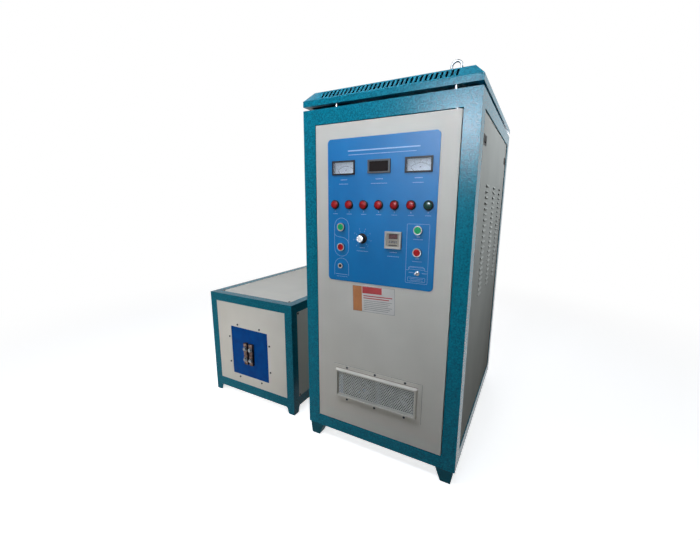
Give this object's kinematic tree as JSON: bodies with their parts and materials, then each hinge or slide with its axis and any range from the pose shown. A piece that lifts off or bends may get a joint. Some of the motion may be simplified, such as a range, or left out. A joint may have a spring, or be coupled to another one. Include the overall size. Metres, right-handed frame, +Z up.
{
  "type": "induction heating machine",
  "caption": "Induction heating machine: upright power cabinet with control door, and a low transformer cabinet with copper coil terminals beside it.",
  "frame": {"origin": "on the floor, in the middle of the rectangle that both cabinets cover", "axes": "+X to the right seen from the front, -Y towards the operator, +Z up"},
  "size_m": [1.2218, 0.916, 1.373],
  "materials": {
    "teal_powder": "hammered powder coat",
    "dark_teal": "powder coat in shade",
    "off_white": "satin powder coat",
    "blue_plate": "satin paint",
    "zinc_steel": "zinc plated",
    "dark_screws": "blackened",
    "bright_metal": "bright chrome",
    "aluminium": "milled",
    "copper": "bare copper",
    "brass": "turned",
    "black_plastic": "moulded",
    "grey_plastic": "moulded",
    "beige_plastic": "moulded",
    "can_plastic": "moulded can",
    "blue_board": "insulating laminate",
    "dial_white": "printed dial",
    "clear_window": "clear",
    "dark_window": "tinted",
    "red_plastic": "tinted",
    "green_plastic": "moulded",
    "dark_green": "tinted, unlit",
    "ferrite": "pressed"
  },
  "bodies": {
    "cabinets": {"front_frame": "teal_powder", "rear_frame": "teal_powder", "cabinet_feet": "dark_teal", "roof_cap": "teal_powder", "roof_standoffs": "zinc_steel", "lifting_eyes": "zinc_steel", "floor_pans": "zinc_steel", "right_side_panel": "off_white", "left_side_panel": "off_white", "rear_panel": "off_white", "latch_housings": "black_plastic", "hinge_pins": "zinc_steel", "mounting_plate": "zinc_steel", "main_breaker": "grey_plastic", "cooling_plate": "aluminium", "power_modules": "black_plastic", "film_capacitors": "can_plastic", "water_fittings": "brass", "cable_glands": "black_plastic", "cover_screws": "dark_screws", "transformer_frame": "teal_powder", "transformer_front_cover": "off_white", "transformer_top_cover": "off_white", "transformer_side_covers": "off_white", "terminal_board": "blue_board", "output_terminals": "copper", "terminal_bolts": "zinc_steel", "ferrite_core": "ferrite", "transformer_windings": "copper"},
    "door": {"front_door": "off_white", "control_plate": "blue_plate", "meter_housings": "black_plastic", "meter_dials": "dial_white", "meter_windows": "clear_window", "display_housing": "grey_plastic", "readout_windows": "dark_window", "lamp_bodies": "black_plastic", "red_lenses": "red_plastic", "green_lens": "dark_green", "button_bezels": "bright_metal", "control_bodies": "black_plastic", "panel_bushes": "bright_metal", "timer_housing": "beige_plastic", "grille_frame": "off_white", "grille_mesh": "zinc_steel", "grille_screws": "dark_screws", "fan_housings": "black_plastic"},
    "left_needle_body": {"left_needle": "dark_screws"},
    "right_needle_body": {"right_needle": "dark_screws"},
    "left_green_button_body": {"left_green_button": "green_plastic"},
    "left_red_button_body": {"left_red_button": "red_plastic"},
    "right_green_button_body": {"right_green_button": "green_plastic"},
    "right_red_button_body": {"right_red_button": "red_plastic"},
    "power_knob_body": {"power_knob": "black_plastic"},
    "toggle_lever_body": {"toggle_lever": "bright_metal"},
    "left_fan_body": {"left_fan_rotor": "black_plastic"},
    "right_fan_body": {"right_fan_rotor": "black_plastic"},
    "breaker_lever_body": {"breaker_lever": "beige_plastic"},
    "right_latches_body": {"right_latches": "black_plastic"},
    "left_latches_body": {"left_latches": "black_plastic"}
  },
  "joints": [
    {"name": "door_swing", "type": "hinge", "parent": "cabinets", "child": "door", "pos_m": [0.5439, -0.425, 0.657], "axis": [0, 0, 1], "range_deg": [0, 105]},
    {"name": "left_needle_turn", "type": "hinge", "parent": "door", "child": "left_needle_body", "pos_m": [0.1759, -0.422, 1.0275], "axis": [0, 1, 0], "range_deg": [0, 84], "stiffness_Nm_per_rad": 0.001, "springref_deg": -11.46},
    {"name": "right_needle_turn", "type": "hinge", "parent": "door", "child": "right_needle_body", "pos_m": [0.4399, -0.422, 1.0275], "axis": [0, 1, 0], "range_deg": [0, 84], "stiffness_Nm_per_rad": 0.001, "springref_deg": -11.46},
    {"name": "left_green_button_press", "type": "slide", "parent": "door", "child": "left_green_button_body", "axis": [0, 1, 0], "range_m": [0, 0.004], "stiffness_N_per_m": 300, "springref_m": -0.003},
    {"name": "left_red_button_press", "type": "slide", "parent": "door", "child": "left_red_button_body", "axis": [0, 1, 0], "range_m": [0, 0.004], "stiffness_N_per_m": 300, "springref_m": -0.003},
    {"name": "right_green_button_press", "type": "slide", "parent": "door", "child": "right_green_button_body", "axis": [0, 1, 0], "range_m": [0, 0.004], "stiffness_N_per_m": 300, "springref_m": -0.003},
    {"name": "right_red_button_press", "type": "slide", "parent": "door", "child": "right_red_button_body", "axis": [0, 1, 0], "range_m": [0, 0.004], "stiffness_N_per_m": 300, "springref_m": -0.003},
    {"name": "power_knob_turn", "type": "hinge", "parent": "door", "child": "power_knob_body", "pos_m": [0.2502, -0.444, 0.831], "axis": [0, 1, 0], "range_deg": [0, 300]},
    {"name": "toggle_tilt", "type": "hinge", "parent": "door", "child": "toggle_lever_body", "pos_m": [0.4499, -0.436, 0.729], "axis": [0, 0, 1], "range_deg": [0, 24]},
    {"name": "left_fan_spin", "type": "hinge", "parent": "door", "child": "left_fan_body", "pos_m": [0.2329, -0.414, 0.268], "axis": [0, 1, 0], "continuous": true},
    {"name": "right_fan_spin", "type": "hinge", "parent": "door", "child": "right_fan_body", "pos_m": [0.3829, -0.414, 0.268], "axis": [0, 1, 0], "continuous": true},
    {"name": "breaker_throw", "type": "hinge", "parent": "cabinets", "child": "breaker_lever_body", "pos_m": [0.1609, -0.056, 0.979], "axis": [1, 0, 0], "range_deg": [0, 50]},
    {"name": "right_latches_slide", "type": "slide", "parent": "cabinets", "child": "right_latches_body", "axis": [0, 0, -1], "range_m": [0, 0.006]},
    {"name": "left_latches_slide", "type": "slide", "parent": "cabinets", "child": "left_latches_body", "axis": [0, 0, -1], "range_m": [0, 0.006]}
  ]
}
